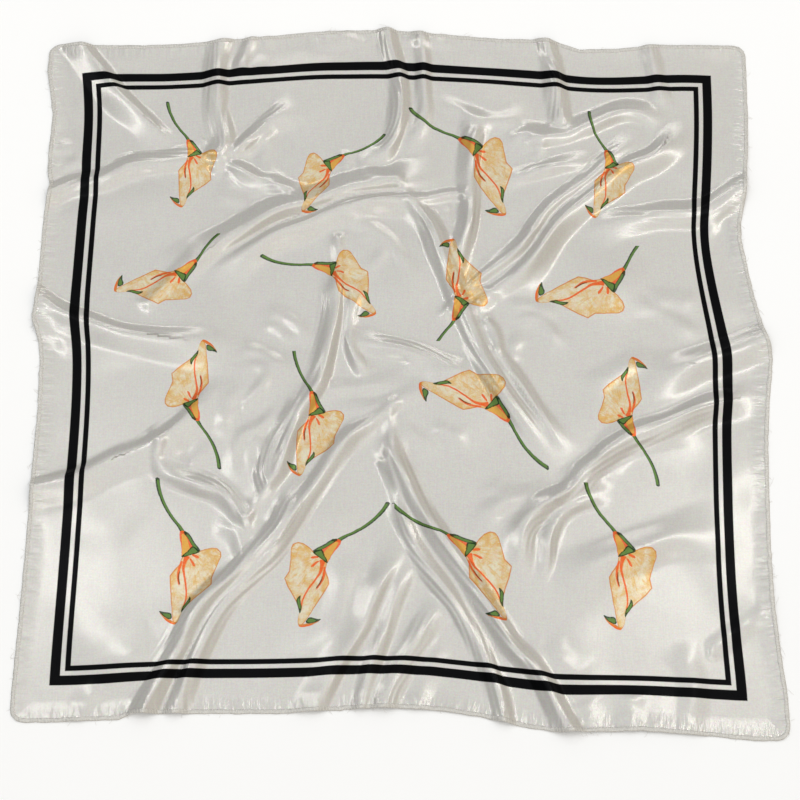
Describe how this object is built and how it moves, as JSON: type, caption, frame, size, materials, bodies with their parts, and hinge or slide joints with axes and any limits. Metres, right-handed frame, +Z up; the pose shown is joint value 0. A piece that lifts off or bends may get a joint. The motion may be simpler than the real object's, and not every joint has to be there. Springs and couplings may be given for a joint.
{
  "type": "faux silk scarf",
  "caption": "Square faux silk scarf laid flat and rumpled, with a rolled hem all round, a double dark border stripe and scattered calla lilies.",
  "frame": {"origin": "middle of the laid scarf's outline, on the surface that it rests on", "axes": "+Z up out of the surface, +X to the right and +Y away from the viewer as the scarf is pictured"},
  "size_m": [0.8986, 0.9158, 0.012],
  "materials": {
    "satin_panel": "ivory polyester satin, printed with a double black border stripe and calla lilies",
    "rolled_hem": "ivory polyester satin rolled into a narrow hem and overstitched"
  },
  "bodies": {
    "root": {"panel": "satin_panel", "hem_front": "rolled_hem", "hem_right": "rolled_hem", "hem_back": "rolled_hem", "hem_left": "rolled_hem"}
  },
  "joints": []
}
